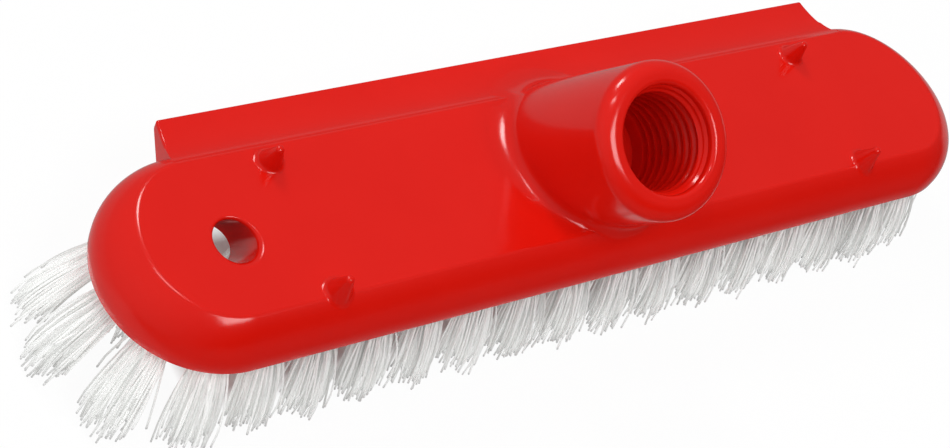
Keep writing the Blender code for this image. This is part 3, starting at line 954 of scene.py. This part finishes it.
def white_nylon():
    material = bpy.data.materials.new("white_nylon")
    wire = blank_tree(material)
    tone = point_value(wire, "tone")
    along = point_value(wire, "along")
    body = blend(wire, NYLON_WHITE, NYLON_GREY, tone)
    colour = blend(wire, body, grey(CUT_GREY), along.ramp(CUT_FROM, 1.0) * CUT_SHARE)
    across, _, _ = object_place(wire).axes()
    reached = (along.ramp(DIM_UNTIL, BRIGHT_FROM) + across.ramp(FREE_FROM, FREE_TO)).held()
    shader = wire.add("BsdfPrincipled", sockets={
        "Base Color": colour,
        "Roughness": NYLON_ROUGHNESS + tone * TONE_ROUGHNESS,
        "IOR": NYLON_IOR,
        "Emission Color": blend(wire, grey(0.0), colour, reached),
        "Emission Strength": INNER_GLOW,
    })
    wire.add("OutputMaterial", sockets={"Surface": shader})
    return material


nylon = white_nylon()
print("nylon is", nylon.name)

# %% [markdown]
# ## The tufts
#
# A tuft is a bundle of filaments packed evenly into its hole. Below it they flare out, part into small locks
# and hang down, with their ends at uneven heights and a stray one here and there. Each filament runs straight
# through the hole and then follows a curve with four control points: the hole's mouth, a place further along
# the tuft's lean, a place above its own end, and that end. All ends are set aside to the left, as in the
# photo. Those of the left end's tufts drift further, to the left and to the front, and are more uneven.

# %% Sizes of a tuft
SEED = 11
GOLDEN = pi * (3 - sqrt(5))
FILAMENTS = 110
PACK_RADIUS = 2.65 * MM
ROOT_DEPTH = 6.2 * MM
HOLE_SHARE = 1 / (FILAMENT_CUTS + 1)
# The fan: where a filament flares, hangs and ends
NEARLY_UPRIGHT = 0.05
LEAN_GAIN = 4
SET_OUT = 1.0 * MM
FLARE_DEPTH = 3.2 * MM
FLARE_ALONG = 4.2 * MM
HANG_DEPTH = 10.0 * MM
HANG_LEAN = tan(radians(9.0))
FAN_ALONG = 5.4 * MM
FAN_OUT = 3.9 * MM
# The locks, and how strongly they draw the filaments together
LOCKS = 11
LOCK_TWIST = 0.3
LOCK_PULL = 0.25
LOCK_UNEVEN = (0.4, 1.3)
# How far the ends are set aside, and how the left end's tufts drift
SET_ASIDE = 3.0 * MM
HANG_ASIDE = 0.35
END_DRIFT = 4.0 * MM
LEFT_DRIFT = 2
LEFT_DRIFT_BEHIND = 1.5
FRONT_DRIFT = 0.5
FRONT_DRIFT_BEHIND = 1.5
# What is left to chance
JITTER = 0.13
STRAY_SHARE = 0.12
STRAY_JITTER = 0.28
STRAY_LEFT = 0.2
WANDER_SIDE = 1.2 * MM
WANDER_OUT = 0.9 * MM
SHORT = 2.1 * MM
SHORT_LEFT = 0.7

chance = random.Random(SEED)
print("a hole takes", FILAMENTS, "filaments in", LOCKS, "locks")

# %% The way of one filament
def fan_axes(mouth, lean):
    """Level directions along the brush's edge and outwards from it, for a tuft."""
    out = Vector((lean.x, lean.y, 0.0))
    if out.length < NEARLY_UPRIGHT:
        out = Vector((0.0, 1.0 if mouth.y > 0 else -1.0, 0.0))
    out.normalize()
    return Vector((-out.y, out.x, 0.0)), out


def disc_points(count):
    """Points spread evenly over a disc of radius one."""
    return [(sqrt((i + 0.5) / count), i * GOLDEN) for i in range(count)]


def filament_path(mouth, lean, share, angle, locks):
    """The root of one filament, and the four control points of its curve below the hole's mouth.

    Left says how far round the left end the tuft sits, and behind how far to the back of it."""
    side, out = fan_axes(mouth, lean)
    up = lean.cross(side).normalized()
    gate = mouth + (side * cos(angle) + up * sin(angle)) * share * PACK_RADIUS
    spread = Vector((cos(angle) * share, sin(angle) * share))
    near = min(locks, key=lambda lock: (lock - spread).length)
    flare = gate + lean * FLARE_DEPTH + side * spread.x * (FLARE_ALONG - PACK_RADIUS)
    spread += (near - spread) * LOCK_PULL * chance.uniform(*LOCK_UNEVEN)
    left = max(0.0, -(mouth.x + STRAIGHT_HALF) / (END_DEPTH - EDGE_INSET))
    behind = max(0.0, mouth.y / (BLOCK_WIDTH / 2 - EDGE_INSET)) if left > 0.0 else 0.0
    stray = chance.random() < STRAY_SHARE
    jitter = STRAY_JITTER + STRAY_LEFT * left if stray else JITTER
    spread += Vector((chance.gauss(0, jitter), chance.gauss(0, jitter)))
    leaning = min(1.0, Vector((lean.x, lean.y)).length * LEAN_GAIN)
    middle = mouth - lean * ((mouth.z - FILAMENT_RADIUS) / lean.z) + out * SET_OUT * leaning
    further = (1 - leaning + behind) * left * LEFT_DRIFT - behind ** 4 * LEFT_DRIFT_BEHIND
    middle.x -= SET_ASIDE + further * END_DRIFT
    middle.y -= (left * FRONT_DRIFT + behind * FRONT_DRIFT_BEHIND) * END_DRIFT
    tip = middle + side * spread.x * FAN_ALONG + out * spread.y * FAN_OUT
    hang = tip + Vector((SET_ASIDE * HANG_ASIDE, 0.0, HANG_DEPTH)) - out * HANG_DEPTH * HANG_LEAN * leaning
    hang += side * chance.gauss(0, WANDER_SIDE) + out * chance.gauss(0, WANDER_OUT)
    short = abs(chance.gauss(0, SHORT)) * (1 + SHORT_LEFT * left)
    tip += (hang - tip) * (short / HANG_DEPTH)
    return gate - lean * ROOT_DEPTH, (gate, flare, hang, tip)


def curve_point(root, curve, share):
    """A place along a filament: straight inside the hole, then along the curve."""
    if share <= HOLE_SHARE:
        return root.lerp(curve[0], share / HOLE_SHARE)
    a, b, c, d = curve
    t = (share - HOLE_SHARE) / (1 - HOLE_SHARE)
    s = 1 - t
    return a * s ** 3 + b * (3 * s * s * t) + c * (3 * s * t * t) + d * t ** 3


print("the share of a filament inside its hole is", round(HOLE_SHARE, 3))

# %% Fill the holes
TONE_POWER = 2.2
THICKNESS = (0.92, 1.06)
BEND_STEP = 0.01
END_STRETCH = 10


def add_filament(root, curve, points, faces, along, tones):
    """Copies the modelled filament onto its path."""
    start = len(points)
    tone = chance.random() ** TONE_POWER
    twist = chance.uniform(0.0, 2 * pi)
    radius = FILAMENT_RADIUS * chance.uniform(*THICKNESS)
    frames = {}
    for place in pattern_points:
        level = round(min(place.z, 1.0), 4)
        if level not in frames:
            here, there = (curve_point(root, curve, level + step) for step in (-BEND_STEP, BEND_STEP))
            way = (there - here).normalized()
            one = way.orthogonal().normalized() if not frames else last - way * last.dot(way)
            one.normalize()
            last = one
            frames[level] = (curve_point(root, curve, level), one, way.cross(one), way)
        middle, one, two, way = frames[level]
        x = place.x * cos(twist) - place.y * sin(twist)
        y = place.x * sin(twist) + place.y * cos(twist)
        over = max(place.z - 1.0, 0.0) * END_STRETCH * MM
        points.append(middle + one * x * radius + two * y * radius + way * over)
        along.append(place.z)
        tones.append(tone)
    faces.extend(tuple(start + corner for corner in face) for face in pattern_faces)


def make_tuft(node, mouth, lean):
    points, faces, along, tones = [], [], [], []
    locks = []
    for share, angle in disc_points(LOCKS):
        angle += chance.uniform(-LOCK_TWIST, LOCK_TWIST)
        locks.append(Vector((cos(angle), sin(angle))) * share)
    for share, angle in disc_points(FILAMENTS):
        add_filament(*filament_path(mouth, lean, share, angle, locks), points, faces, along, tones)
    mesh = bpy.data.meshes.new(node + "_filaments")
    mesh.from_pydata(points, [], faces)
    for name, values in (("along", along), ("tone", tones)):
        mesh.attributes.new(name, "FLOAT", "POINT").data.foreach_set("value", values)
    tuft = bpy.data.objects.new(node + "_filaments", mesh)
    bpy.context.scene.collection.objects.link(tuft)
    mesh.materials.append(nylon)
    mesh.shade_smooth()
    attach(tuft, "root")
    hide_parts(node)
    return tuft


tufts = [make_tuft(*seat) for seat in seats]
print(len(tufts), "tufts,", sum(len(tuft.data.polygons) for tuft in tufts), "faces")

# %% [markdown]
# ## The size
#
# The dressed brush has to fill the same box as the CAD model. Both boxes are printed.

# %% Sizes
seen_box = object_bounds()
for name, box in (("CAD", cad_box), ("seen", seen_box)):
    print(name, [[round(v / MM, 2) for v in corner] for corner in box])
